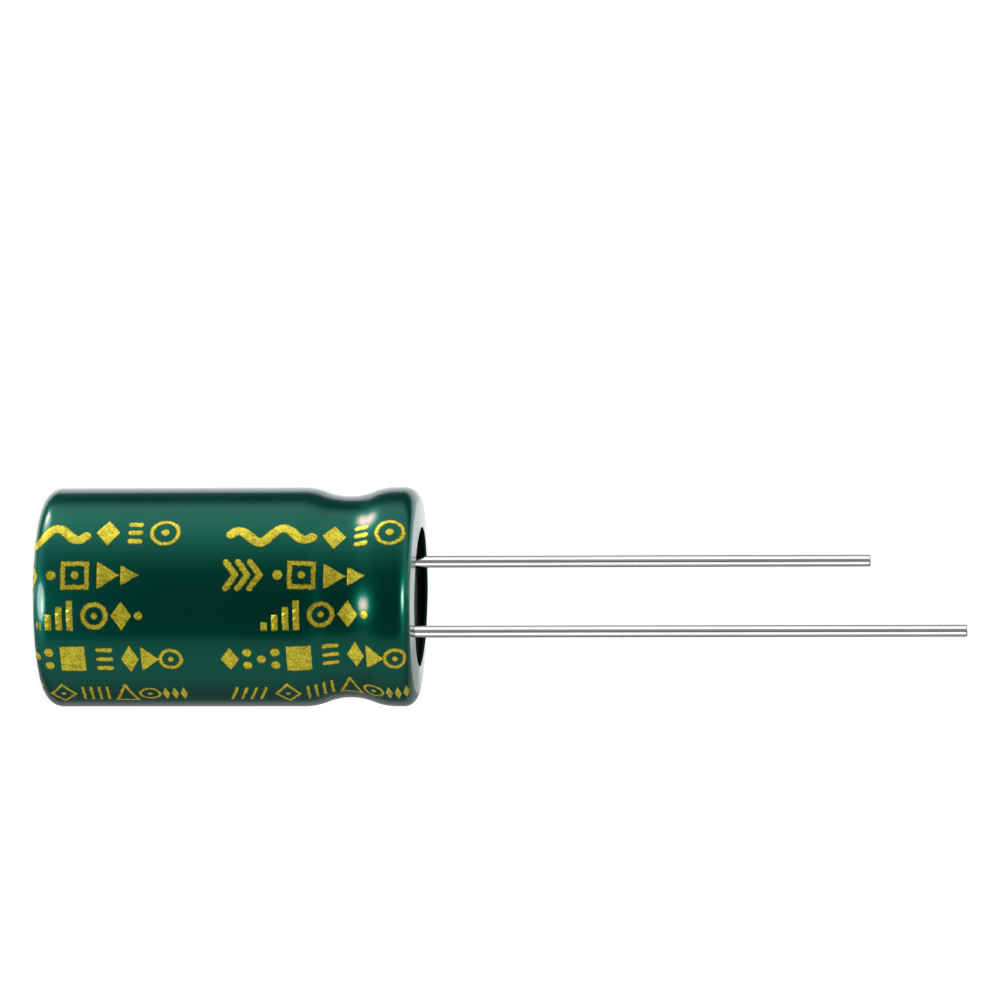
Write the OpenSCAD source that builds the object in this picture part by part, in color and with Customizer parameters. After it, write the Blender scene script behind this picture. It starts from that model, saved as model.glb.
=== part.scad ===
// Radial electrolytic capacitor in a shrink sleeve.
// The can stands on its vent end. Z runs up the can's axis to the leads, and Z = 0 is the vent rim.
// The positive lead is at +X and the negative lead at -X.

/* [Can] */
// Outer diameter of the bare aluminium can
can_d = 10; // [9.6:0.1:11]
// Thickness of the drawn aluminium
can_wall = 0.25; // [0.2:0.01:0.32]
// Height of the sleeved body, from the vent rim to the crest of the curled rim
body_h = 17.5; // [16:0.5:26]
// Depth that the bead is rolled into the can
bead_depth = 0.75; // [0.6:0.05:0.9]
// Half of the bead's height along the can
bead_half = 2.17; // [2:0.01:2.3]
// Distance from the middle of the bead to the crest of the curled rim
bead_setback = 3.2; // [3.1:0.05:3.6]
// Width of the rim that is curled in over the end seal
curl_w = 1.5; // [1.4:0.05:1.6]
// Drop of the curled edge into the end seal, from the crest
curl_drop = 0.75; // [0.6:0.05:0.9]
// Inner bend radius where the curled edge turns down
curl_bend_r = 0.1; // [0.05:0.01:0.15]

/* [Vent] */
// Length of each score line across the vent end
score_l = 5.6; // [4:0.1:6.2]
// Width of a score line at the surface
score_w = 0.36; // [0.24:0.02:0.5]
// Depth of a score line
score_depth = 0.12; // [0.08:0.01:0.16]

/* [Sleeve] */
// Thickness of the shrunk film
film_t = 0.11; // [0.08:0.01:0.16]
// Depth that the film sinks over the bead
film_bead_depth = 0.42; // [0.3:0.01:0.5]
// Outer corner radius of the film at the vent end
vent_corner_r = 0.79; // [0.7:0.01:0.95]
// Outer corner radius of the film at the lead end
base_corner_r = 0.68; // [0.6:0.01:0.8]
// Width of the film that laps onto the vent end
vent_lip_w = 1.42; // [1.2:0.02:1.7]
// Width of the film that laps onto the curled rim
base_lip_w = 1.86; // [1.7:0.02:2]
// Rise of the lapped film over the rim, from its corner to its free edge
lip_rise = 0.08; // [0:0.01:0.14]

/* [End seal] */
// Recess of the rubber seal's face below the crest
seal_recess = 0.4; // [0.3:0.05:0.6]
// Height of the seal's skirt below the bead
seal_skirt = 0.5; // [0.45:0.05:1]
// Bevel round the seal's inner face
seal_bevel = 0.3; // [0.2:0.05:0.4]

/* [Leads] */
// Distance between the two leads
lead_pitch = 5; // [4.4:0.1:5.2]
// Diameter of a tinned lead wire
lead_d = 0.55; // [0.4:0.05:0.6]
// Length of the positive lead above the crest
positive_l = 25.5; // [15:0.5:35]
// Length of the negative lead above the crest
negative_l = 21; // [12:0.5:30]
// Rounding of a lead's cut edge
tip_r = 0.1; // [0.04:0.01:0.14]
// Diameter of the weld at a lead's foot
weld_d = 1; // [0.8:0.02:1.1]
// Depth of the weld below the seal's face
weld_depth = 1; // [0.8:0.05:1.3]

/* [Tabs] */
// Diameter of a tab's round boss
boss_d = 1.2; // [1.14:0.02:1.4]
// Length of the boss that stands out under the seal
boss_proud = 0.5; // [0.3:0.05:0.7]
// Width of a tab's flattened blade
blade_w = 1.5; // [1.2:0.05:1.8]
// Thickness of a tab's flattened blade
blade_t = 0.25; // [0.2:0.01:0.35]
// Winding that is left below the end of a blade
blade_stop = 1.5; // [0.8:0.1:3]

/* [Winding] */
// Free height between the winding and the seal
head_space = 1.4; // [1.1:0.1:2]
// Free height between the winding and the can's floor
floor_space = 0.14; // [0.08:0.01:0.25]
// Free space between the taped winding and the can's wall
side_space = 0.35; // [0.2:0.05:0.5]
// Diameter of the hole that the winding mandrel leaves
mandrel_d = 1.5; // [1.2:0.1:2]
// Distance from one turn to the next, as the end relief shows it
turn_pitch = 0.45; // [0.4:0.01:0.6]
// Width of the gap between the turns at an end
turn_gap_w = 0.14; // [0.1:0.01:0.2]
// Depth of the gap between the turns at an end
turn_gap_depth = 0.3; // [0.2:0.05:0.4]
// Thickness of the tape that holds the winding closed
tape_t = 0.06; // [0.04:0.01:0.1]
// Height of bare winding at each edge of the tape
tape_inset = 1.2; // [0.6:0.1:2]

/* [Hidden] */
$fn = 96;

film_gap = 0.01;      // between the film and the can
seal_gap = 0.01;      // between the rubber and what it grips
tape_gap = 0.01;      // between the tape and the winding
blade_gap = 0.03;     // between a blade and its turns
weld_room = 0.03;     // between the weld and the seal's upper hole
cut_over = 0.5;       // how far a cut runs past the face that it opens
neck_inset = 0.04;    // step from a tab's boss to its pressed neck
neck_root = 0.3;      // how far the neck's section runs up inside the boss
neck_angle = 50;      // degrees from a neck's thickness to its corner
corner_steps = 8;     // straight steps in a rounded corner
bead_steps = 8;       // straight steps in each arc of the bead
turn_step = 15;       // degrees between the points of the spiral

can_r = can_d / 2;
bore_r = can_r - can_wall;
film_r = can_r + film_gap + film_t;
film_off = film_t + film_gap;
lip_slope = atan(lip_rise / (base_lip_w - base_corner_r));
can_bottom = film_off;
can_floor = can_bottom + can_wall;
can_crest = body_h - film_off;
bead_z = body_h - bead_setback;

seal_face = body_h - seal_recess;
seal_bottom = bead_z - bead_half - seal_skirt;
weld_z = seal_face - weld_depth;
boss_bottom = seal_bottom - boss_proud;
edge_r = can_r - curl_w;
edge_z = can_crest - curl_drop;
curl_turn_r = curl_bend_r + can_wall;

winding_bottom = can_floor + floor_space;
winding_top = seal_bottom - head_space;
winding_r = bore_r - side_space - tape_t - tape_gap;
blade_bottom = winding_bottom + blade_stop;

// Points of an arc about a centre, from angle a to angle b
function arc(cr, cz, r, a, b, steps) =
    [for (i = [0:steps]) let (t = a + (b - a) * i / steps) [cr + r * cos(t), cz + r * sin(t)]];

// Points up a beaded wall: a shoulder, the waist and a shoulder, all of one radius and tangent.
// The points lie inset under a wall of radius r with a bead of the given depth.
function bead(r, depth, inset) =
    let (bend = (pow(bead_half, 2) + pow(depth, 2)) / (4 * depth),
         swing = asin(bead_half / (2 * bend)))
    concat(arc(r - bend, bead_z - bead_half, bend - inset, 0, swing, bead_steps),
           arc(r - depth + bend, bead_z, bend + inset, 180 + swing, 180 - swing, bead_steps),
           arc(r - bend, bead_z + bead_half, bend - inset, -swing, 0, bead_steps));

function backwards(points) = [for (i = [len(points) - 1:-1:0]) points[i]];

// One face of the film, from the vent lip to the base lip, inset from its outside
function film_face(inset) =
    concat([[film_r - vent_lip_w, inset]],
           arc(film_r - vent_corner_r, vent_corner_r, vent_corner_r - inset, -90, 0, corner_steps),
           bead(film_r, film_bead_depth, inset),
           arc(film_r - base_corner_r, body_h - base_corner_r, base_corner_r - inset, 0,
               90 - lip_slope, corner_steps),
           [[film_r - base_lip_w, body_h + lip_rise - inset]]);

// One face of the can, from the middle of the vent end to the curled edge, inset from its outside
function can_face(inset) =
    concat([[0, can_bottom + inset]],
           arc(film_r - vent_corner_r, vent_corner_r, vent_corner_r - film_off - inset, -90, 0,
               corner_steps),
           bead(can_r, bead_depth, inset),
           arc(film_r - base_corner_r, body_h - base_corner_r, base_corner_r - film_off - inset,
               0, 90, corner_steps),
           arc(edge_r + curl_turn_r, can_crest - curl_turn_r, curl_turn_r - inset, 90, 180,
               corner_steps),
           [[edge_r + inset, edge_z]]);

// Outline of the strip between the turns: a spiral out from the mandrel hole
function spiral(first_r, turns) =
    let (last = floor(turns * 360 / turn_step),
         side = function(shift) [for (i = [0:last])
             let (t = i * turn_step, r = first_r + turn_pitch * t / 360 + shift)
             [r * cos(t), r * sin(t)]])
    concat(side(turn_gap_w / 2), backwards(side(-turn_gap_w / 2)));

module sleeve() {
    color([0.02, 0.22, 0.16])
        rotate_extrude()
            polygon(concat(film_face(0), backwards(film_face(film_t))));
}

// A score line is a V cut across the vent end
module score_line() {
    translate([-score_l / 2, 0, can_bottom])
        rotate([90, 0, 90])
            linear_extrude(height = score_l)
                polygon([[-score_w / 2, 0], [-score_w / 2, -cut_over], [score_w / 2, -cut_over],
                         [score_w / 2, 0], [0, score_depth]]);
}

module can() {
    color([0.80, 0.81, 0.83])
        difference() {
            rotate_extrude()
                polygon(concat(can_face(0), backwards(can_face(can_wall))));
            for (turn = [45, 135])
                rotate([0, 0, turn])
                    score_line();
        }
}

// The rubber fills the can from the bead to the curl, and the curled edge bites into it
module end_seal() {
    inset = can_wall + seal_gap;
    outline = concat(
        [[0, seal_bottom], [bore_r - seal_gap - seal_bevel, seal_bottom],
         [bore_r - seal_gap, seal_bottom + seal_bevel]],
        bead(can_r, bead_depth, inset),
        arc(film_r - base_corner_r, body_h - base_corner_r,
            base_corner_r - film_off - inset, 0, 90, corner_steps),
        arc(edge_r + curl_turn_r, can_crest - curl_turn_r, curl_bend_r - seal_gap, 90, 180,
            corner_steps),
        [[edge_r + inset, edge_z - seal_gap], [edge_r - seal_gap, edge_z - seal_gap],
         [edge_r - seal_gap, seal_face], [0, seal_face]]);
    color([0.07, 0.08, 0.08])
        difference() {
            rotate_extrude()
                polygon(outline);
            for (side = [-1, 1])
                translate([side * lead_pitch / 2, 0, 0]) {
                    translate([0, 0, seal_bottom - cut_over])
                        cylinder(h = weld_z + seal_gap - seal_bottom + cut_over,
                                 d = boss_d + 2 * seal_gap);
                    translate([0, 0, weld_z])
                        cylinder(h = weld_depth + cut_over, d = weld_d + 2 * weld_room);
                }
        }
}

// A lead is a drawn wire with a tapered weld foot and a cut end whose edge is a little rounded
module lead(side, length) {
    r = lead_d / 2;
    tip = body_h + length;
    color([0.86, 0.87, 0.88])
        translate([side * lead_pitch / 2, 0, 0])
            rotate_extrude()
                polygon(concat([[0, weld_z], [weld_d / 2, weld_z], [r, body_h]],
                               arc(r - tip_r, tip - tip_r, tip_r, 0, 90, corner_steps),
                               [[0, tip]]));
}

module positive_lead() {
    lead(1, positive_l);
}

module negative_lead() {
    lead(-1, negative_l);
}

// A tab is one aluminium rod: round where the seal grips it and pressed flat where it meets the foil
module tab(side) {
    neck_r = boss_d / 2 - neck_inset;
    neck_x = neck_r * cos(neck_angle);
    neck_y = neck_r * sin(neck_angle);
    widen_z = winding_top + (boss_bottom - winding_top) / 3;
    color([0.72, 0.73, 0.75])
        translate([side * lead_pitch / 2, 0, 0])
            union() {
                translate([0, 0, boss_bottom])
                    cylinder(h = weld_z - boss_bottom, d = boss_d);
                intersection() {
                    rotate([90, 0, 0])
                        linear_extrude(height = 2 * blade_w, center = true)
                            polygon([[-blade_t / 2, blade_bottom], [blade_t / 2, blade_bottom],
                                     [blade_t / 2, winding_top], [neck_x, boss_bottom],
                                     [neck_x, boss_bottom + neck_root],
                                     [-neck_x, boss_bottom + neck_root],
                                     [-neck_x, boss_bottom], [-blade_t / 2, winding_top]]);
                    rotate([90, 0, 90])
                        linear_extrude(height = 2 * boss_d, center = true)
                            polygon([[-blade_w / 2, blade_bottom], [blade_w / 2, blade_bottom],
                                     [blade_w / 2, widen_z], [neck_y, boss_bottom],
                                     [neck_y, boss_bottom + neck_root],
                                     [-neck_y, boss_bottom + neck_root],
                                     [-neck_y, boss_bottom], [-blade_w / 2, widen_z]]);
                }
            }
}

module positive_tab() {
    tab(1);
}

module negative_tab() {
    tab(-1);
}

// Two foils and their papers are wound into one roll, which grips the two blades
module winding() {
    first_r = mandrel_d / 2 + turn_pitch / 2;
    turns = (winding_r - turn_pitch / 2 - first_r) / turn_pitch;
    color([0.80, 0.74, 0.60])
        difference() {
            translate([0, 0, winding_bottom])
                cylinder(h = winding_top - winding_bottom, r = winding_r);
            translate([0, 0, winding_bottom - cut_over])
                cylinder(h = winding_top - winding_bottom + 2 * cut_over, d = mandrel_d);
            for (z = [winding_bottom - cut_over, winding_top - turn_gap_depth])
                translate([0, 0, z])
                    linear_extrude(height = turn_gap_depth + cut_over)
                        polygon(spiral(first_r, turns));
            for (side = [-1, 1])
                translate([side * lead_pitch / 2 - blade_t / 2 - blade_gap,
                           -blade_w / 2 - blade_gap, blade_bottom - blade_gap])
                    cube([blade_t + 2 * blade_gap, blade_w + 2 * blade_gap,
                          winding_top - blade_bottom + cut_over]);
        }
}

module winding_tape() {
    h = winding_top - winding_bottom - 2 * tape_inset;
    color([0.85, 0.72, 0.35])
        translate([0, 0, winding_bottom + tape_inset])
            difference() {
                cylinder(h = h, r = winding_r + tape_gap + tape_t);
                translate([0, 0, -cut_over])
                    cylinder(h = h + 2 * cut_over, r = winding_r + tape_gap);
            }
}

sleeve();
can();
end_seal();
positive_lead();
negative_lead();
positive_tab();
negative_tab();
winding();
winding_tape();
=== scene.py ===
"""A radial electrolytic capacitor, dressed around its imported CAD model. Lengths are in metres."""
import math

import bmesh
import bpy
import numpy as np
from mathutils import Matrix, Vector


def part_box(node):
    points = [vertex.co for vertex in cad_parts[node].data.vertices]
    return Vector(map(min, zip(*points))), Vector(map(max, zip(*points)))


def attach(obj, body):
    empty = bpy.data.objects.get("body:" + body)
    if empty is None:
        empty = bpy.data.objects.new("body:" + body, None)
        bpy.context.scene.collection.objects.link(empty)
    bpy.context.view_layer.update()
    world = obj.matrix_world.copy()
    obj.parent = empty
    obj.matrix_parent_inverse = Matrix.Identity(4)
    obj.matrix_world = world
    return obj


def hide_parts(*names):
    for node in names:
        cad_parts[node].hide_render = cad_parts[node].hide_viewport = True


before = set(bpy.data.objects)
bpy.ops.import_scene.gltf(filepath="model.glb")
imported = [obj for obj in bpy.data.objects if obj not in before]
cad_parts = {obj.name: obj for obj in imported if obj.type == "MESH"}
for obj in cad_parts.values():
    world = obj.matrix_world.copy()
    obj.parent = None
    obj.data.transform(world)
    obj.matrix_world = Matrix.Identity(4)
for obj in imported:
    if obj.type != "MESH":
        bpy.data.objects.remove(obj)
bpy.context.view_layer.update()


# Camera
# A long lens looks at the standing capacitor from a little above its middle. The camera is rolled
# on its side, so that the can's axis runs across the picture with the leads to the right.
mm = 0.001
lens_mm = 207.2
nearest, farthest = 10 * mm, 100
camera_azimuth = math.radians(-39.72)
camera_elevation = math.radians(4.77)
camera_distance = 268.33 * mm
camera_roll = math.radians(-0.21)
aim_height = 21.28 * mm
aim_aside = 4.49 * mm

towards_camera = Vector((math.cos(camera_elevation) * math.cos(camera_azimuth),
                         math.cos(camera_elevation) * math.sin(camera_azimuth),
                         math.sin(camera_elevation)))
axis_right = (Vector((0, 0, 1)) - towards_camera * towards_camera.z).normalized()
axis_up = towards_camera.cross(axis_right)
picture_right = math.cos(camera_roll) * axis_right + math.sin(camera_roll) * axis_up
picture_up = math.cos(camera_roll) * axis_up - math.sin(camera_roll) * axis_right
camera_place = Vector((0, 0, aim_height)) + aim_aside * picture_up + camera_distance * towards_camera

camera = bpy.data.objects.new("camera", bpy.data.cameras.new("camera"))
bpy.context.scene.collection.objects.link(camera)
camera.data.lens = lens_mm
camera.data.clip_start = nearest
camera.data.clip_end = farthest
camera.matrix_world = Matrix.Translation(camera_place) @ Matrix(
    (picture_right, picture_up, towards_camera)).transposed().to_4x4()
bpy.context.scene.camera = camera
bpy.context.scene.view_settings.view_transform = "Standard"


# Studio
# A white room. What the can mirrors of it is bright above, below and behind, and nearly dark on the
# camera's side, while matt surfaces get an even light. Lamps and panels that light one piece alone
# are hung in that piece's section.
class Value:
    """A socket of a node tree. Arithmetic on it adds Math nodes, and node() adds any other node."""

    def __init__(self, tree, socket=None):
        self.tree = tree
        self.socket = socket

    def node(self, kind, settings=None, inputs=None, out=0):
        made = self.tree.nodes.new("ShaderNode" + kind)
        for name, value in (settings or {}).items():
            setattr(made, name, value)
        for name, value in (inputs or {}).items():
            if isinstance(value, Value):
                self.tree.links.new(value.socket, made.inputs[name])
            else:
                made.inputs[name].default_value = value
        return Value(self.tree, made.outputs[out])

    def math(self, operation, *values):
        return self.node("Math", {"operation": operation}, dict(enumerate(values)))

    def __add__(self, other):
        return self.math("ADD", self, other)

    __radd__ = __add__

    def __rsub__(self, other):
        return self.math("SUBTRACT", other, self)

    def __mul__(self, other):
        return self.math("MULTIPLY", self, other)

    __rmul__ = __mul__

    def step(self, low, high):
        """0 up to low, 1 from high on, and a smooth rise between them. A high below low falls."""
        if high < low:
            return 1 - self.step(high, low)
        return self.node("MapRange", {"interpolation_type": "SMOOTHSTEP"},
                         {"Value": self, "From Min": low, "From Max": high})


def facing(azimuth_above, height):
    """A direction by its angle round the can's axis, in degrees from the camera's side towards the
    picture's top, and by its slope along the axis."""
    level = Vector((towards_camera.x, towards_camera.y, 0)).normalized()
    top = level.cross(Vector((0, 0, 1)))
    angle = math.radians(azimuth_above)
    return (math.cos(angle) * level + math.sin(angle) * top + Vector((0, 0, height))).normalized()


world = bpy.data.worlds.new("white_room")
bpy.context.scene.world = world
world.use_nodes = True
world.node_tree.nodes.clear()
room = Value(world.node_tree)
direction = room.node("TexCoord", out="Generated")
ahead = room.node("VectorMath", {"operation": "DOT_PRODUCT"}, {0: direction, 1: facing(0, 0)}, out="Value")
above = room.node("VectorMath", {"operation": "DOT_PRODUCT"}, {0: direction, 1: facing(90, 0)}, out="Value")
turn = room.math("ARCTAN2", above, ahead) * (180 / math.pi)
top_light = 0.95 * turn.step(24, 84) * turn.step(124, 106) + 0.07 * turn.step(0, 24) * turn.step(60, 40)
below_light = 0.46 * turn.step(-42, -46) * turn.step(-128, -80) + 0.12 * turn.step(-80, -120)
back_light = (1.15 * turn.step(142, 148) + 0.20 * turn.step(-138, -147)
              + 0.85 * turn.step(-176.6, -178.2))
radiance = top_light + below_light + back_light
plain_white = (1, 1, 1, 1)
shown_white = room.node("Background", None, {"Color": plain_white, "Strength": 1.0})
mirrored = room.node("Background", None, {"Color": plain_white, "Strength": radiance})
scattered = room.node("Background", None, {"Color": plain_white, "Strength": 0.7 + 0.1 * radiance})
lit = room.node("MixShader", None, {0: room.node("LightPath", out="Is Diffuse Ray"),
                                    1: mirrored, 2: scattered})
seen = room.node("MixShader", None, {0: room.node("LightPath", out="Is Camera Ray"),
                                     1: lit, 2: shown_white})
output = world.node_tree.nodes.new("ShaderNodeOutputWorld")
world.node_tree.links.new(seen.socket, output.inputs["Surface"])


def material(name, build):
    """A material whose surface is what build returns for an empty node tree."""
    made = bpy.data.materials.new(name)
    made.use_nodes = True
    made.node_tree.nodes.clear()
    surface = build(Value(made.node_tree))
    output = made.node_tree.nodes.new("ShaderNodeOutputMaterial")
    made.node_tree.links.new(surface.socket, output.inputs["Surface"])
    return made


def pale_floor(v):
    """Plain white paper, lit so that it shows white, with a trace of a shadow under the can."""
    return v.node("BsdfPrincipled", None, {"Base Color": (0.15, 0.15, 0.15, 1), "Roughness": 0.9,
                                           "Emission Color": (1, 1, 1, 1), "Emission Strength": 0.92})


floor_reach = 6.0
floor_corners = [(x * floor_reach, y * floor_reach, 0) for x, y in ((-1, -1), (1, -1), (1, 1), (-1, 1))]
floor_mesh = bpy.data.meshes.new("floor")
floor_mesh.from_pydata(floor_corners, [], [(0, 1, 2, 3)])
floor_mesh.materials.append(material("pale_floor", pale_floor))
floor = bpy.data.objects.new("floor", floor_mesh)
bpy.context.scene.collection.objects.link(floor)
floor.visible_glossy = False
floor.visible_diffuse = False
floor.visible_shadow = False


# Winding
# Two foils and their separator papers, soaked in electrolyte and wound into one roll. The packed
# solid keeps its shape and shows the paper edges at both ends.
def mix(v, factor, first, second):
    """A colour between two, by a factor. 6 and 7 are the Mix node's two colour sockets."""
    return v.node("Mix", {"data_type": "RGBA"}, {"Factor": factor, 6: first, 7: second}, out=2)


def noise(v, scale, detail=2.0, place=None):
    """Soft noise on the object's own coordinates, about 0 to 1. scale is in features per metre."""
    place = place or v.node("TexCoord", out="Object")
    return v.node("TexNoise", None, {"Vector": place, "Scale": scale, "Detail": detail})


def rough_bump(v, height, strength, distance):
    """A normal that is raised by a height field."""
    return v.node("Bump", None, {"Height": height, "Strength": strength, "Distance": distance})


def paper(v):
    """Damp separator paper: pale fibres that turn darker in patches."""
    fibres = noise(v, 9000, 3)
    damp = noise(v, 500, 2)
    colour = mix(v, fibres * damp, (0.52, 0.45, 0.31, 1), (0.80, 0.74, 0.60, 1))
    return v.node("BsdfPrincipled", None, {"Base Color": colour, "Roughness": 0.55 + 0.3 * fibres,
                                           "Normal": rough_bump(v, fibres, 0.4, 0.02 * mm)})


def dress(node, finish):
    """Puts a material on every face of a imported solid."""
    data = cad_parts[node].data
    data.materials.clear()
    data.materials.append(finish)


dress("winding", material("soaked_paper", paper))


# Winding tape
# A band of clear amber polyester tape holds the roll closed. It is wound on after the roll and
# has fine creases.
def tape(v):
    """Amber film with fine creases."""
    creases = noise(v, 2500, 1)
    colour = mix(v, creases, (0.62, 0.42, 0.10, 1), (0.84, 0.64, 0.24, 1))
    return v.node("BsdfPrincipled", None, {"Base Color": colour, "Roughness": 0.18 + 0.2 * creases,
                                           "Normal": rough_bump(v, creases, 0.2, 0.01 * mm)})


dress("winding_tape", material("amber_tape", tape))


# Tabs
# Each tab is an aluminium rod that is pressed flat where it is stitched to its foil. The press
# leaves a satin face with fine marks along the blade.
def pressed_aluminium(v):
    """Satin aluminium with fine marks along the can's axis."""
    place = v.node("TexCoord", out="Object")
    along = v.node("Mapping", None, {"Vector": place, "Scale": (1, 1, 0.05)})
    marks = noise(v, 20000, 2, along)
    colour = mix(v, marks, (0.60, 0.61, 0.63, 1), (0.80, 0.81, 0.82, 1))
    return v.node("BsdfPrincipled", None, {"Base Color": colour, "Metallic": 1.0,
                                           "Roughness": 0.28 + 0.2 * marks,
                                           "Normal": rough_bump(v, marks, 0.15, 0.005 * mm)})


tab_finish = material("pressed_aluminium", pressed_aluminium)
dress("positive_tab", tab_finish)
dress("negative_tab", tab_finish)


# Leads
# Tinned copper-clad steel wire, drawn bright and cut square, with a rounded edge at the cut and a
# tapered weld foot in the seal. Each is turned out as a fine round mesh in place of its solid.
lead_radius = 0.275 * mm
tip_round = 0.10 * mm
taper_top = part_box("end_seal")[1].z
lead_columns = 48
weld_distance = 0.00002 * mm
panel_distance = 80 * mm
panel_length = 120 * mm
panel_height = 42 * mm


def grid_faces(rows, columns, close_rows):
    """The faces of a grid whose columns run round: each joins two neighbours in a row with the two
    below them. Closed rows run round as well."""
    index = np.arange(rows * columns).reshape(rows, columns)
    upper = index if close_rows else index[:-1]
    down = np.roll(index, -1, 0) if close_rows else index[1:]
    return np.stack([upper, np.roll(upper, -1, 1), np.roll(down, -1, 1), down], -1).reshape(-1, 4)


def finished(name, data, finish, sharp=40):
    """A mesh becomes an object at the origin, merged, smooth and with its faces outwards."""
    shape = bmesh.new()
    shape.from_mesh(data)
    bmesh.ops.remove_doubles(shape, verts=shape.verts, dist=weld_distance)
    bmesh.ops.dissolve_degenerate(shape, edges=shape.edges, dist=weld_distance)
    bmesh.ops.recalc_face_normals(shape, faces=shape.faces)
    shape.to_mesh(data)
    shape.free()
    data.shade_smooth()
    data.set_sharp_from_angle(angle=math.radians(sharp))
    data.materials.append(finish)
    made = bpy.data.objects.new(name, data)
    bpy.context.scene.collection.objects.link(made)
    return made


def grid_mesh(name, points, finish, close_rows=False):
    """A grid of points, rows by columns, becomes smooth quads. A row whose points all meet closes
    as a pole."""
    faces = grid_faces(*points.shape[:2], close_rows)
    data = bpy.data.meshes.new(name)
    data.from_pydata(points.reshape(-1, 3).tolist(), [], faces.tolist())
    return finished(name, data, finish)


def arc(centre_r, centre_z, radius, start, end, steps):
    """Points at even angles, in degrees, about a centre in a plane of radius and height."""
    angle = np.radians(np.linspace(start, end, steps + 1))
    return np.stack([centre_r + radius * np.cos(angle), centre_z + radius * np.sin(angle)], -1)


def revolve(profile, columns, centre_x=0.0):
    """A profile of radius and height turned round an upright axis: x is the axis' place plus the
    radius times the cosine of an even angle, y is the radius times its sine, and z the height."""
    angle = 2 * np.pi * np.arange(columns) / columns
    radius = profile[:, None, 0]
    return np.stack([centre_x + radius * np.cos(angle), radius * np.sin(angle),
                     np.broadcast_to(profile[:, None, 1], (len(profile), columns))], -1)


def bright_tin(v):
    """Bright tin with faint die lines along the wire and slight waves in its mirror."""
    place = v.node("TexCoord", out="Object")
    along = v.node("Mapping", None, {"Vector": place, "Scale": (1, 1, 0.02)})
    lines = noise(v, 14000, 2, along)
    clouds = noise(v, 700, 2)
    colour = mix(v, clouds, (0.80, 0.80, 0.81, 1), (0.90, 0.90, 0.90, 1))
    return v.node("BsdfPrincipled", None, {"Base Color": colour, "Metallic": 1.0,
                                           "Roughness": 0.07 + 0.08 * lines,
                                           "Specular Tint": (0.35, 0.34, 0.36, 1),
                                           "Normal": rough_bump(v, lines, 0.10, 0.004 * mm)})


def breadth(distance, spread):
    """The width that covers a spread of degrees at a distance."""
    return 2 * distance * math.tan(math.radians(spread / 2))


def hang(lamp, place, pieces):
    """Puts a lamp at its place in the room, out of the camera's sight, to light only some pieces."""
    fixture = bpy.data.objects.new(lamp.name, lamp)
    bpy.context.scene.collection.objects.link(fixture)
    fixture.matrix_world = place
    fixture.visible_camera = False
    fixture.light_linking.receiver_collection = pieces


def panel(name, azimuth_above, spread, brightness, pieces):
    """A lit panel along the leads that covers a spread of degrees round them. Its energy is its
    brightness times pi times its area."""
    lamp = bpy.data.lights.new(name, "AREA")
    lamp.shape = "RECTANGLE"
    lamp.size = panel_length
    lamp.size_y = breadth(panel_distance, spread)
    lamp.energy = brightness * math.pi * lamp.size * lamp.size_y
    upwards = Vector((0, 0, 1))
    away = facing(azimuth_above, 0)
    middle = panel_height * upwards + panel_distance * away
    turned = Matrix((upwards, away.cross(upwards), away)).transposed().to_4x4()
    hang(lamp, Matrix.Translation(middle) @ turned, pieces)


tin = material("bright_tin", bright_tin)
leads_only = bpy.data.collections.new("leads_only")
for name in ("positive_lead", "negative_lead"):
    low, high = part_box(name)
    foot_radius = (high.x - low.x) / 2
    taper = np.stack([np.linspace(foot_radius, lead_radius, 8), np.linspace(low.z, taper_top, 8)], -1)
    tip = arc(lead_radius - tip_round, high.z - tip_round, tip_round, 0, 90, 6)
    wire = np.vstack([[[0, low.z]], taper, tip, [[0, high.z]]])
    lead = grid_mesh(name + "_wire", revolve(wire, lead_columns, (high.x + low.x) / 2), tin)
    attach(lead, "root")
    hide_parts(name)
    leads_only.objects.link(lead)
panel("panel_above", 58, 30, 1.0, leads_only)
panel("panel_below", -42, 42, 1.1, leads_only)
panel("panel_front", 17, 52, 0.22, leads_only)


# End seal
# A moulded rubber plug that the bead and the curled rim squeeze. Its face lies in shadow inside
# the rim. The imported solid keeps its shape.
def black_rubber(v):
    """Dark rubber with a fine moulded grain and a little dust."""
    grain = noise(v, 12000, 3)
    dust = noise(v, 1500, 2)
    colour = mix(v, dust, (0.010, 0.036, 0.024, 1), (0.020, 0.056, 0.040, 1))
    return v.node("BsdfPrincipled", None, {"Base Color": colour, "Roughness": 0.5 + 0.3 * grain,
                                           "Normal": rough_bump(v, grain, 0.3, 0.01 * mm)})


dress("end_seal", material("black_rubber", black_rubber))


# Can
# Deep-drawn aluminium, bright from the die, with fine rings left by drawing. It shows at the
# scored vent end and at the curled edge inside the sleeve's lip, where it is dull and painted dark as
# painted shade.
curl_radii = 3.95 * mm, 3.8 * mm
curl_heights = 16.0 * mm, 16.2 * mm


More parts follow.
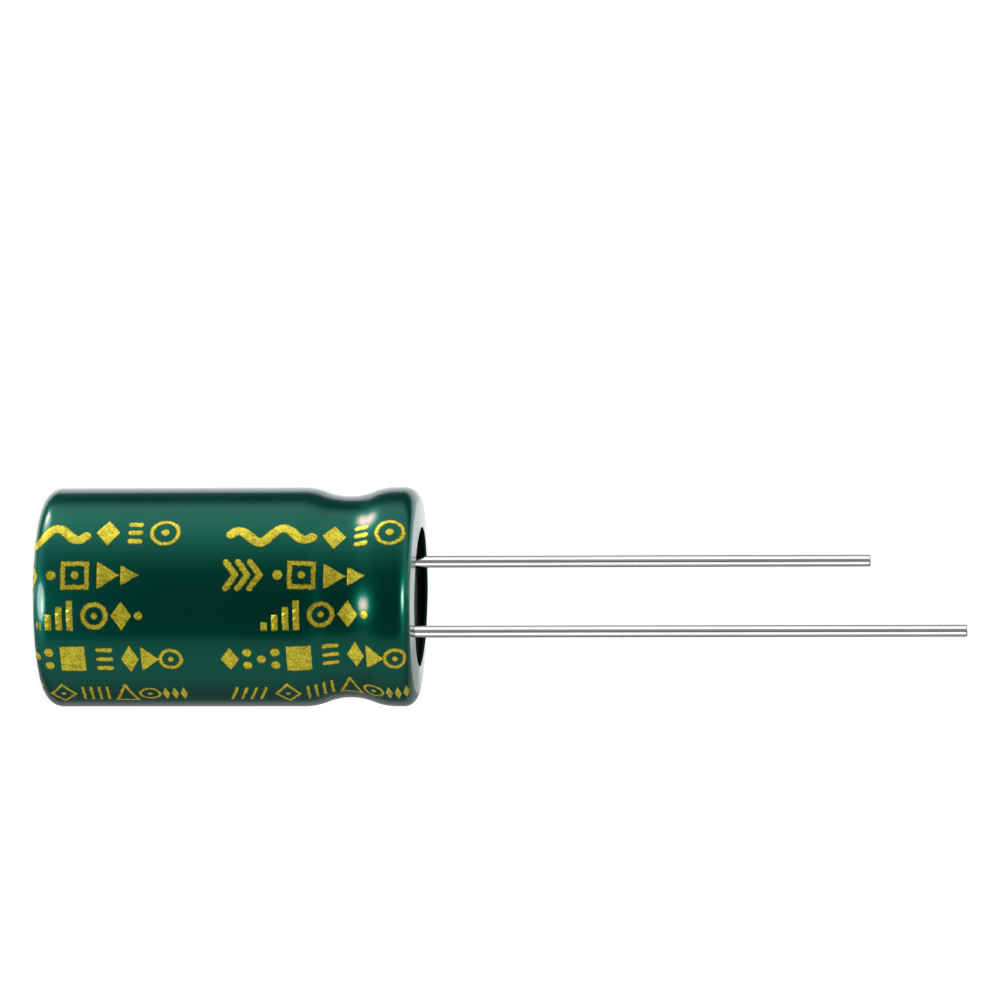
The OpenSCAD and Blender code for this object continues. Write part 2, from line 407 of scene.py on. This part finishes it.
def drawn_aluminium(v):
    """Bright aluminium with faint drawn rings and clouds. Between its two radii and its two heights
    the curled edge is dull, and painted near black as a painted shade for the sleeve's lip."""
    place = v.node("TexCoord", out="Object")
    flat = v.node("VectorMath", {"operation": "MULTIPLY"}, {0: place, 1: (1, 1, 0)})
    from_axis = v.node("VectorMath", {"operation": "LENGTH"}, {0: flat}, out="Value")
    rings = v.node("TexNoise", {"noise_dimensions": "1D"}, {"W": from_axis, "Scale": 9000, "Detail": 2})
    clouds = noise(v, 600, 2)
    height = v.node("SeparateXYZ", None, {"Vector": place}, out="Z")
    # Painted shade: the curled edge under the sleeve's lip is painted near black, and it is also made
    # rougher.
    dull_curl_painted_shade = from_axis.step(*curl_radii) * height.step(*curl_heights)
    bright = mix(v, clouds, (0.70, 0.71, 0.73, 1), (0.84, 0.85, 0.86, 1))
    colour = mix(v, dull_curl_painted_shade, bright, (0.06, 0.06, 0.06, 1))
    return v.node("BsdfPrincipled", None, {"Base Color": colour, "Metallic": 1.0,
                                           "Roughness": 0.22 + 0.14 * rings + 0.4 * dull_curl_painted_shade,
                                           "Normal": rough_bump(v, rings, 0.12, 0.006 * mm)})


dress("can", material("drawn_aluminium", drawn_aluminium))


# Sleeve
# Dark green film, shrunk over the can so that it laps round both rims and sinks into the bead.
# The film is clear and dyed, so that the aluminium under it shines through as a green metal.
film_thickness = 0.11 * mm
film_gap = 0.01 * mm
film_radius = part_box("sleeve")[1].x
film_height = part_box("can")[1].z + film_thickness + film_gap
lip_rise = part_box("sleeve")[1].z - film_height
vent_corner = 0.79 * mm
base_corner = 0.68 * mm
base_corner_turn = 86
vent_lip = 1.42 * mm
base_lip = 1.86 * mm
bead_height = film_height - 3.2 * mm
bead_half = 2.17 * mm
bead_depth = 0.42 * mm
film_columns = 192
lean_slope = 0.018
lean_side = math.radians(238)
lean_height = 1.4 * base_corner
lip_wave = 0.015 * mm
lamp_colour = (1, 0.32, 0.35)
lamp_shares = (0.2, 0.4, 0.6, 0.8, 1.0)
corner_lamp_distance = 5 * mm


def film_profile(inset, step=1):
    """The film's section from its vent lip to its base lip: flat lips, round corners, a straight
    wall and a bead of three tangent arcs, all of it inset from the outside. A step of two halves
    the points of the wall and the arcs."""
    bend = (bead_half ** 2 + bead_depth ** 2) / (4 * bead_depth)
    swing = math.degrees(math.asin(bead_half / (2 * bend)))
    vent_edge, base_edge = film_radius - vent_corner, film_radius - base_corner
    lip = np.linspace(film_radius - vent_lip, vent_edge, 8)[:-1]
    wall = np.linspace(vent_corner, bead_height - bead_half, 60 // step)[1:-1]
    return np.vstack([
        np.stack([lip, np.full(len(lip), inset)], -1),
        arc(vent_edge, vent_corner, vent_corner - inset, -90, 0, 24 // step),
        np.stack([np.full(len(wall), film_radius - inset), wall], -1),
        arc(film_radius - bend, bead_height - bead_half, bend - inset, 0, swing, 16 // step),
        arc(film_radius - bead_depth + bend, bead_height, bend + inset,
            180 + swing, 180 - swing, 32 // step)[1:],
        arc(film_radius - bend, bead_height + bead_half, bend - inset, -swing, 0, 16 // step)[1:],
        arc(base_edge, film_height - base_corner, base_corner - inset, 0, base_corner_turn, 24 // step),
        np.stack([np.linspace(base_edge, film_radius - base_lip, 10)[1:],
                  film_height + lip_rise * np.linspace(0, 1, 10)[1:] - inset], -1)])


def lean(points):
    """The shrunk lip isn't true: near the film's end the height grows with the distance towards one
    side, and a small wave of three and of seven swings runs round the free edge."""
    side = points[..., 0] * math.cos(lean_side) + points[..., 1] * math.sin(lean_side)
    angle = np.arctan2(points[..., 1], points[..., 0])
    radius = np.hypot(points[..., 0], points[..., 1])
    share = np.clip((points[..., 2] - film_height + lean_height) / lean_height, 0, 1) ** 2
    free = np.clip((film_radius - base_corner - radius) / (base_lip - base_corner), 0, 1) * share
    wave = 0.6 * np.sin(3 * angle + 1) + 0.4 * np.sin(7 * angle + 2)
    leant = points.copy()
    leant[..., 2] += share * lean_slope * side + free * lip_wave * wave
    return leant


def green_film(v):
    """Dyed film over metal: a green metal under a clear gloss, with a faint unevenness."""
    clouds = noise(v, 260, 3)
    grain = noise(v, 3500, 2)
    colour = mix(v, clouds, (0.0004, 0.118, 0.077, 1), (0.0008, 0.130, 0.085, 1))
    return v.node("BsdfPrincipled", None, {
        "Base Color": colour, "Metallic": 0.85, "Roughness": 0.28 + 0.06 * clouds,
        "Specular IOR Level": 0.0, "Specular Tint": (0.7, 0.75, 0.8, 1),
        "Coat Weight": 1.0, "Coat Roughness": 0.12, "Coat IOR": 1.25,
        "Normal": rough_bump(v, clouds + 0.05 * grain, 0.04, 0.2 * mm)})


def soft_lamp(name, azimuth_above, height, spread, brightness, colour, pieces):
    """A far lamp with a soft edge. Its discs, all in one direction, take even shares of a spread of
    degrees and add up to an even fall of brightness from the middle."""
    place = facing(azimuth_above, height).to_track_quat("Z", "Y").to_matrix().to_4x4()
    for share in lamp_shares:
        lamp = bpy.data.lights.new(name, "SUN")
        lamp.angle = math.radians(spread * share)
        lamp.color = colour
        lamp.energy = brightness / len(lamp_shares) * math.pi * (lamp.angle / 2) ** 2
        hang(lamp, place, pieces)


def corner_lamp(name, azimuth_above, height, round_spread, up_spread, brightness, colour):
    """A small soft lamp of ovals close to the vent corner, over the spot that mirrors it to the
    camera. The corner's round faces halfway between the lamp and the camera there."""
    away = facing(azimuth_above, height)
    across = Vector((0, 0, 1)).cross(away).normalized()
    halfway = (away + towards_camera).normalized()
    round_middle = Vector((halfway.x, halfway.y, 0)).normalized() * (film_radius - vent_corner)
    spot = round_middle + Vector((0, 0, vent_corner)) + vent_corner * halfway
    turned = Matrix((across, away.cross(across), away)).transposed().to_4x4()
    for share in lamp_shares:
        lamp = bpy.data.lights.new(name, "AREA")
        lamp.shape = "ELLIPSE"
        lamp.size = breadth(corner_lamp_distance, round_spread * share)
        lamp.size_y = breadth(corner_lamp_distance, up_spread * share)
        lamp.color = colour
        area = math.pi / 4 * lamp.size * lamp.size_y
        lamp.energy = brightness / len(lamp_shares) * math.pi * area
        hang(lamp, Matrix.Translation(spot + away * corner_lamp_distance) @ turned, film_only)


outer = film_profile(0)
inner = film_profile(film_thickness, 2)
sleeve = grid_mesh("sleeve_film", lean(revolve(np.vstack([outer, inner[::-1]]), film_columns)),
                   material("green_film", green_film), close_rows=True)
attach(sleeve, "root")
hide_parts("sleeve")
film_only = bpy.data.collections.new("film_only")
film_only.objects.link(sleeve)
soft_lamp("lamp_bead_above", 103, -0.58, 19, 45, lamp_colour, film_only)
soft_lamp("lamp_bead_front", -10, -1.08, 15, 75, lamp_colour, film_only)
corner_lamp("lamp_vent_front", -5, -1.5, 48, 60, 125, (1, 0.20, 0.25))
corner_lamp("lamp_vent_above", 93, -0.58, 36, 38, 42, (1, 0.28, 0.30))
soft_lamp("lamp_base_corner", -3, 1.9, 20, 90, lamp_colour, film_only)


# Print
# Rows of plain signs in gold ink, laid on the film before it was shrunk. The same block of rows
# comes twice along the can, and the first block runs over the vent corner.
stroke_mm = 0.27
thin_stroke_mm = 0.18
point_step_mm = 0.07
square_step_mm = 0.004
ink_thickness = 0.012 * mm
ink_root = 0.03 * mm
ink_cell = 0.14 * mm
edge_jitter = 0.016 * mm
vent_margin, base_margin = 0.04 * mm, 1.2 * mm
fewest_points = 4
block_starts = (-1.9 * mm, 8.6 * mm)
jitter = np.random.default_rng(7)


def distance_along(points):
    """How far along its line each point lies: the sum of the steps that lead to it."""
    return np.concatenate([[0], np.cumsum(np.hypot(*np.diff(points, axis=0).T))])


# A tiny length more at each point keeps the slope finite where two points share a place
tiny = 1e-9
outline_length = distance_along(outer)
wall_start = int(np.argmax(outer[:, 1] > vent_corner + 0.01 * mm))
outline_place = outline_length - outline_length[wall_start] + outer[wall_start, 1]
outline_slope = np.gradient(outer, outline_length + tiny * np.arange(len(outer)), axis=0)


def on_film(along, around, lift):
    """A spot on the film: along is the way up its outline, counted as height on the straight wall,
    and around is the way over its girth from the camera's side towards the picture's top. The
    spot is the outline's point there plus lift times the outline's normal, turned about the axis."""
    normal_r = np.interp(along, outline_place, outline_slope[:, 1])
    normal_z = -np.interp(along, outline_place, outline_slope[:, 0])
    radius = np.interp(along, outline_place, outer[:, 0]) + lift * normal_r
    height = np.interp(along, outline_place, outer[:, 1]) + lift * normal_z
    angle = camera_azimuth - around / film_radius
    return lean(np.stack([radius * np.cos(angle), radius * np.sin(angle), height], -1))


def walk(corners, closed=False, step=point_step_mm):
    """Points along straight lines through the corners, about a step apart. The corners are kept,
    and even points that come too close to one are left out."""
    corners = np.asarray(corners, float)
    if closed:
        corners = np.vstack([corners, corners[:1]])
    far = distance_along(corners)
    even = np.linspace(0, far[-1], max(2, int(far[-1] / step)))
    even = even[np.abs(even[:, None] - far).min(1) > 0.3 * step]
    at = np.sort(np.concatenate([even, far]))
    return np.stack([np.interp(at, far, corners[:, 0]), np.interp(at, far, corners[:, 1])], -1)


def ink(path, half, closed, thickness):
    """A raised stroke of ink as a closed grid. Its rows follow the path, each as wide as twice its
    half width with a ragged edge, and its columns go over the top and back under the film's face.
    Each point also gets its distance from the stroke's edge."""
    before = np.roll(path, 1, 0) if closed else np.vstack([path[:1], path[:-1]])
    after = np.roll(path, -1, 0) if closed else np.vstack([path[1:], path[-1:]])
    ways = [path - before, after - path]
    into, out = [way / np.maximum(np.hypot(*way.T), tiny)[:, None] for way in ways]
    both = (into + out)[:, ::-1] * (-1, 1)
    side = both * 2 / np.maximum((both ** 2).sum(1), 1)[:, None]
    count = max(2, int(np.ceil(2 * half.max() / ink_cell)))
    over = np.concatenate([[-1], np.linspace(-1, 1, count + 1), [1]])
    top = np.full(count - 1, thickness)
    lift = np.concatenate([[-ink_root, thickness / 2], top, [thickness / 2, -ink_root]])
    wide_enough = half > 0.2 * stroke_mm * mm
    ragged = wide_enough[:, None] * edge_jitter * jitter.standard_normal((len(path), 2))
    reach = half[:, None] * over + np.where(over < 0, ragged[:, :1], ragged[:, 1:]) * (np.abs(over) == 1)
    flat = path[:, None] + reach[..., None] * side[:, None]
    inset = half[:, None] * (1 - np.abs(over))
    spots = on_film(flat[..., 0], flat[..., 1], lift).reshape(-1, 3)
    return spots, inset.reshape(-1), grid_faces(*reach.shape, closed)


def line(corners, width=stroke_mm):
    """A stroke through corners with round ends: its half width follows a circle at each end."""
    path = walk(corners)
    far = distance_along(path)
    end = np.clip(np.minimum(far, far[-1] - far) / (width / 2), 0, 1)
    return path, width / 2 * np.sqrt(1 - (1 - end) ** 2), False


def ring(x, y, radius, width=stroke_mm):
    """A stroke round a circle."""
    turn = np.linspace(0, 2 * np.pi, max(16, int(2 * np.pi * radius / point_step_mm)), endpoint=False)
    path = np.stack([x + radius * np.cos(turn), y + radius * np.sin(turn)], -1)
    return path, np.full(len(path), width / 2), True


def outline(*corners, width=stroke_mm):
    """A stroke round a closed outline with sharp corners."""
    path = walk(corners, closed=True)[:-1]
    return path, np.full(len(path), width / 2), True


def lozenge(x, y, wide, tall):
    """A filled diamond: the half height falls evenly to both ends."""
    path = walk([(x - wide / 2, y), (x, y), (x + wide / 2, y)])
    return path, tall / 2 * (1 - np.abs(path[:, 0] - x) / (wide / 2)), False


def disc(x, y, radius):
    """A filled round: the half height is the circle's."""
    path = walk([(x - radius, y), (x + radius, y)])
    return path, np.sqrt(np.clip(radius ** 2 - (path[:, 0] - x) ** 2, 0, None)), False


def square_ends(path, step):
    """A path whose second point from each end moves to a small step from it, so that a stroke of no
    width at its ends still looks cut off square."""
    path[1, 0] = path[0, 0] + step
    path[-2, 0] = path[-1, 0] - step
    return path


def wedge(x, y, wide, tall, narrow=0.0):
    """A filled shape with square ends: the half height goes evenly from one end to the other."""
    path = walk([(x - wide / 2, y), (x + wide / 2, y)])
    half = np.interp(path[:, 0], path[[0, -1], 0], (tall / 2, narrow / 2))
    half[[0, -1]] = 0
    return square_ends(path, square_step_mm), half, False


def wave(x, y, wide, tall, turns, width, rise):
    """A stroke along a sine wave that climbs evenly by its rise."""
    sweep = np.linspace(0, 1, 24 * turns)
    swing = tall / 2 * np.sin(2 * np.pi * turns * sweep)
    return line(np.stack([x + wide * sweep, y + rise * sweep + swing], -1), width)


def signs():
    """The block's strokes, row by row from the top, in millimetres along and around."""
    first = [wave(0.45, 2.95, 4.1, 0.7, 2, 0.5, 0.3), lozenge(5.4, 3.25, 1.15, 1.45)]
    first += [line([(6.3, 3.25 + k), (7.05, 3.25 + k)], 0.3) for k in (-0.47, 0, 0.47)]
    first += [ring(8.05, 3.25, 0.62, 0.22), disc(8.05, 3.25, 0.21)]
    second = [line([(0.35 + k, 1.85), (0.9 + k, 1.1), (0.35 + k, 0.35)], 0.33) for k in (0, 0.56, 1.12)]
    second += [disc(2.85, 1.1, 0.25), outline((3.4, 0.55), (4.5, 0.55), (4.5, 1.65), (3.4, 1.65)),
               disc(3.95, 1.1, 0.21), wedge(5.5, 1.1, 1.05, 1.4), wedge(6.5, 1.1, 0.85, 1.05)]
    third = [wedge(2.2 + 0.5 * k, -1.5 + tall / 2, 0.3, tall, tall)
             for k, tall in enumerate((0.45, 0.8, 1.15, 1.45))]
    third += [ring(4.85, -0.78, 0.53), disc(4.85, -0.78, 0.18),
              lozenge(6.1, -0.78, 1.0, 1.4), disc(6.9, -0.78, 0.22)]
    fourth = [lozenge(0.55, -2.95, 0.9, 1.3), disc(1.35, -2.6, 0.24), disc(1.35, -3.3, 0.24),
              disc(2.0, -2.95, 0.24), disc(2.65, -2.6, 0.24), disc(2.65, -3.3, 0.24),
              wedge(3.75, -2.95, 1.15, 1.4, 1.4)]
    fourth += [line([(4.8, -2.95 + k), (5.65, -2.95 + k)]) for k in (-0.5, 0, 0.5)]
    fourth += [lozenge(6.4, -2.95, 0.85, 1.55), wedge(7.35, -2.95, 0.85, 1.45),
               ring(8.3, -2.95, 0.48, 0.22), disc(8.3, -2.95, 0.17)]
    fifth = [line([(0.35 + 0.45 * k, -6.0), (0.75 + 0.45 * k, -4.75)], thin_stroke_mm) for k in range(4)]
    fifth += [outline((2.5, -5.35), (3.05, -4.6), (3.6, -5.35), (3.05, -6.1), width=thin_stroke_mm),
              disc(3.05, -5.35, 0.15)]
    fifth += [line([(4.0 + 0.38 * k, -6.0), (4.0 + 0.38 * k, -4.7)], thin_stroke_mm) for k in range(4)]
    fifth += [outline((5.5, -6.0), (6.5, -6.0), (6.0, -4.6), width=thin_stroke_mm),
              ring(7.1, -5.35, 0.45, thin_stroke_mm), disc(7.1, -5.35, 0.15)]
    fifth += [lozenge(7.85 + 0.42 * k, -5.35, 0.36, 1.2) for k in range(3)]
    return first + second + third + fourth + fifth


def gold_ink(v):
    """Gold ink: grains of bright powder in a darker binder, dark brown along the edges."""
    inset = v.node("Attribute", {"attribute_name": "inset"}, out="Fac")
    grains = noise(v, 11000, 3)
    patches = noise(v, 2500, 2)
    speckle = (grains + 0.35 * patches).step(0.42, 0.86)
    fill = mix(v, speckle, (0.38, 0.33, 0.012, 1), (0.97, 0.84, 0.055, 1))
    rim = inset.step(0.060 * mm, 0.015 * mm) * 0.85
    colour = mix(v, rim, fill, (0.06, 0.05, 0.005, 1))
    return v.node("BsdfPrincipled", None, {"Base Color": colour, "Metallic": 0.6, "Roughness": 0.42,
                                           "Specular IOR Level": 0.6,
                                           "Normal": rough_bump(v, grains, 0.35, 0.012 * mm)})


def printed(name, strokes, finish, thickness=ink_thickness):
    """Strokes, in metres, become one mesh on the film. An open one that runs past a lip is cut
    square there. A closed one that does is left out, as is one with hardly a point on the film."""
    low, high = outline_place[0] + vent_margin, outline_place[-1] - base_margin
    spots, insets, faces, count = [], [], [], 0
    for path, half, closed in strokes:
        kept = (path[:, 0] > low) & (path[:, 0] < high)
        if kept.sum() < fewest_points or (closed and not kept.all()):
            continue
        path, half = path[kept], half[kept]
        if not closed:
            half[[0, -1]] = 0
        places, inset, quads = ink(path, half, closed, thickness)
        spots.append(places)
        insets.append(inset)
        faces.append(quads + count)
        count += len(places)
    data = bpy.data.meshes.new(name)
    data.from_pydata(np.vstack(spots).tolist(), [], np.vstack(faces).tolist())
    data.attributes.new("inset", "FLOAT", "POINT").data.foreach_set("value", np.concatenate(insets))
    return finished(name, data, finish, sharp=50)


ink_finish = material("gold_ink", gold_ink)
strokes = [(path * mm + (start, 0), half * mm, closed)
           for start in block_starts for path, half, closed in signs()]
gold_print = printed("gold_print", strokes, ink_finish)
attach(gold_print, "root")
ink_only = bpy.data.collections.new("ink_only")
ink_only.objects.link(gold_print)
soft_lamp("lamp_ink_above", 102, -0.56, 22, 25, (1, 1, 1), ink_only)
soft_lamp("lamp_ink_front", -10, -1.08, 16, 30, (1, 1, 1), ink_only)


# Polarity stripe
# A gold stripe marks the side of the negative lead, with minus bars of the film's green over it.
# It is printed with the signs.
stripe_middle = film_radius * (camera_azimuth + math.pi)
stripe_width = 2.6 * mm
stripe_low, stripe_high = 1.1 * mm, 16.2 * mm
minus_length, minus_width = 1.7 * mm, 0.55 * mm
minus_count = 4


def bar(low, high, width):
    """A straight stroke up the stripe's middle with square ends, in metres."""
    path = walk([(low, stripe_middle), (high, stripe_middle)], step=point_step_mm * mm)
    return square_ends(path, square_step_mm * mm), np.full(len(path), width / 2), False


def green_ink(v):
    """Matt green ink, as dark as the film."""
    grains = noise(v, 9000, 2)
    colour = mix(v, grains, (0.002, 0.045, 0.030, 1), (0.004, 0.075, 0.050, 1))
    return v.node("BsdfPrincipled", None, {"Base Color": colour, "Roughness": 0.4})


stripe = printed("polarity_stripe", [bar(stripe_low, stripe_high, stripe_width)], ink_finish)
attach(stripe, "root")
spacing = (stripe_high - stripe_low) / minus_count
middles = stripe_low + spacing * (np.arange(minus_count) + 0.5)
bars = [bar(middle - minus_length / 2, middle + minus_length / 2, minus_width) for middle in middles]
minus_marks = printed("minus_marks", bars, material("green_ink", green_ink), 2 * ink_thickness)
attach(minus_marks, "root")
